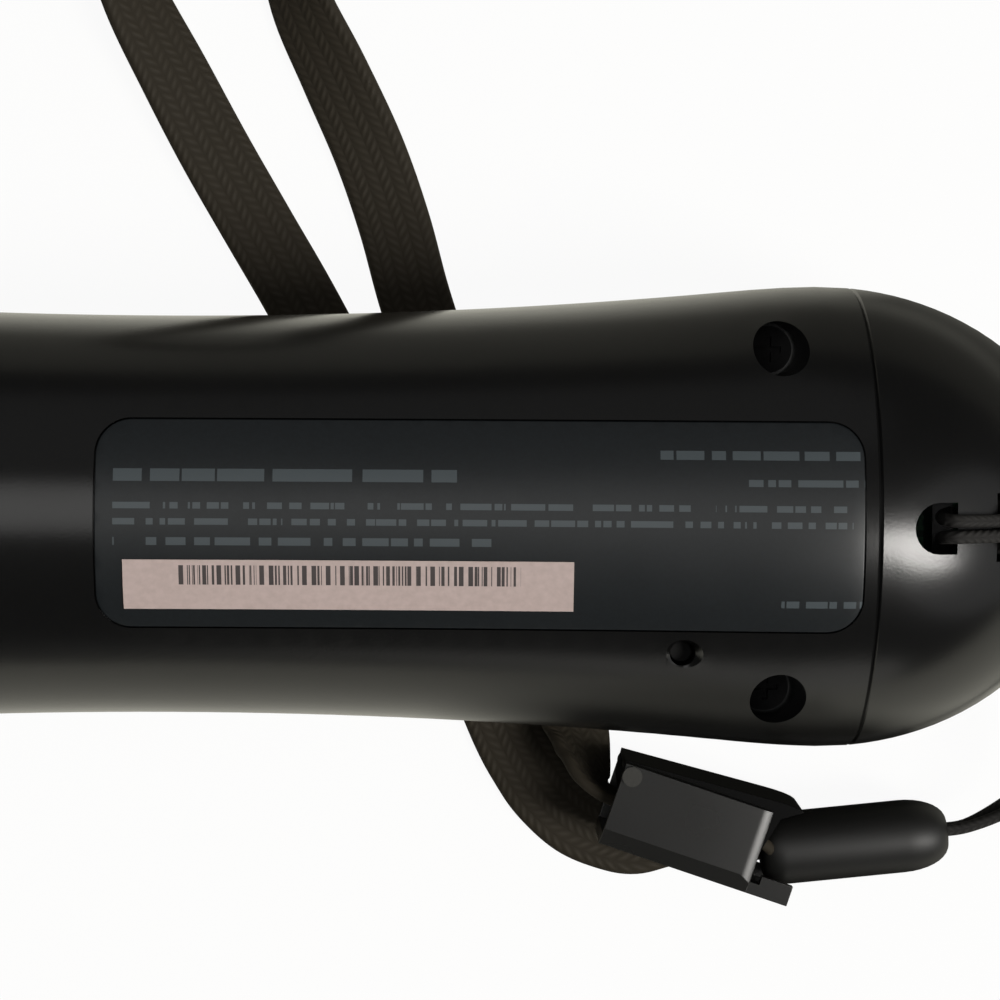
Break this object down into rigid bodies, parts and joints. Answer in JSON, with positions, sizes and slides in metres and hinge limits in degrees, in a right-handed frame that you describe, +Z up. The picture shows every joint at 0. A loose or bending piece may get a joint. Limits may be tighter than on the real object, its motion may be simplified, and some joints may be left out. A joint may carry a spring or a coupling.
{
  "type": "motion controller wand",
  "caption": "Hand-held motion wand with a soft light ball, waisted grip, finger trigger, press keys, tail sockets and a hitched wrist strap with a lever lock.",
  "frame": {"origin": "on the table under the middle of the wand's length", "axes": "+X along the wand from the ball to the tail, +Z up through the trigger and label side, with the axis dropping slightly towards the tail because the ball is wider"},
  "size_m": [0.2067, 0.113, 0.0474],
  "materials": {
    "black_shell": "satin",
    "gloss_black": "semi gloss",
    "soft_ball": "matte, slightly see-through",
    "clear_guide": "frosted",
    "red_lens": "gloss",
    "label": "satin film",
    "sticker": "matte",
    "soft_mat": "matte",
    "board": "semi gloss",
    "steel": "satin",
    "gold_contact": "polished",
    "grey_lever": "satin",
    "webbing": "woven"
  },
  "bodies": {
    "wand": {"rear_shell": "black_shell", "front_shell": "black_shell", "tail_cap": "black_shell", "trigger_frame": "black_shell", "battery_tray": "black_shell", "lock_sleeve": "black_shell", "trigger_sensor": "black_shell", "side_switches": "black_shell", "reset_switch": "black_shell", "battery": "black_shell", "accessory_socket": "black_shell", "board_chips": "black_shell", "neck_ring": "gloss_black", "strap_connector": "gloss_black", "ball": "soft_ball", "light_guide": "clear_guide", "light_chip": "clear_guide", "status_window": "red_lens", "battery_lead": "red_lens", "label_film": "label", "pale_sticker": "sticker", "key_mat": "soft_mat", "light_board": "board", "main_board": "board", "tail_board": "board", "casing_screws": "steel", "trigger_pin": "steel", "trigger_spring": "steel", "board_screws": "steel", "charging_socket": "steel", "vibration_motor": "steel", "charging_contacts": "gold_contact", "strap_webbing": "webbing", "strap_cord": "webbing"},
    "main_key": {"main_key": "gloss_black"},
    "action_key_1": {"action_key_1": "gloss_black"},
    "action_key_2": {"action_key_2": "gloss_black"},
    "action_key_3": {"action_key_3": "gloss_black"},
    "action_key_4": {"action_key_4": "gloss_black"},
    "system_key": {"system_key": "gloss_black"},
    "side_key_left": {"side_key_left": "gloss_black"},
    "side_key_right": {"side_key_right": "gloss_black"},
    "reset_button": {"reset_button": "black_shell"},
    "trigger": {"trigger": "black_shell"},
    "vibration_weight": {"vibration_weight": "steel"},
    "lock_lever": {"lock_lever": "grey_lever", "lock_pin": "steel"}
  },
  "joints": [
    {"name": "main_press", "type": "slide", "parent": "wand", "child": "main_key", "axis": [0.0189, 0, 0.9998], "range_m": [0, 0.0012], "stiffness_N_per_m": 600},
    {"name": "action_press_1", "type": "slide", "parent": "wand", "child": "action_key_1", "axis": [0.0121, -0.7694, 0.6387], "range_m": [0, 0.0008], "stiffness_N_per_m": 600},
    {"name": "action_press_2", "type": "slide", "parent": "wand", "child": "action_key_2", "axis": [0.0121, -0.7694, 0.6387], "range_m": [0, 0.0008], "stiffness_N_per_m": 600},
    {"name": "action_press_3", "type": "slide", "parent": "wand", "child": "action_key_3", "axis": [0.0121, 0.7694, 0.6387], "range_m": [0, 0.0008], "stiffness_N_per_m": 600},
    {"name": "action_press_4", "type": "slide", "parent": "wand", "child": "action_key_4", "axis": [0.0121, 0.7694, 0.6387], "range_m": [0, 0.0008], "stiffness_N_per_m": 600},
    {"name": "system_press", "type": "slide", "parent": "wand", "child": "system_key", "axis": [0.0189, 0, 0.9998], "range_m": [0, 0.0008], "stiffness_N_per_m": 600},
    {"name": "side_press_left", "type": "slide", "parent": "wand", "child": "side_key_left", "axis": [0.0039, 0.9781, 0.2079], "range_m": [0, 0.0006], "stiffness_N_per_m": 800},
    {"name": "side_press_right", "type": "slide", "parent": "wand", "child": "side_key_right", "axis": [0.0039, -0.9781, 0.2079], "range_m": [0, 0.0006], "stiffness_N_per_m": 800},
    {"name": "reset_press", "type": "slide", "parent": "wand", "child": "reset_button", "axis": [-0.0189, 0, -0.9998], "range_m": [0, 0.00025], "stiffness_N_per_m": 800},
    {"name": "trigger_pull", "type": "hinge", "parent": "wand", "child": "trigger", "pos_m": [-0.04683, 0, 0.03493], "axis": [0, 1, 0], "range_deg": [0, 10], "stiffness_Nm_per_rad": 0.12, "deforming": ["trigger_spring"]},
    {"name": "weight_spin", "type": "hinge", "parent": "wand", "child": "vibration_weight", "pos_m": [0.05674, 0, 0.01206], "axis": [0.9998, 0, -0.0189], "continuous": true},
    {"name": "lock_turn", "type": "hinge", "parent": "wand", "child": "lock_lever", "pos_m": [0.0658, -0.0241, 0.0069], "axis": [0, 0, -1], "range_deg": [0, 55]}
  ]
}
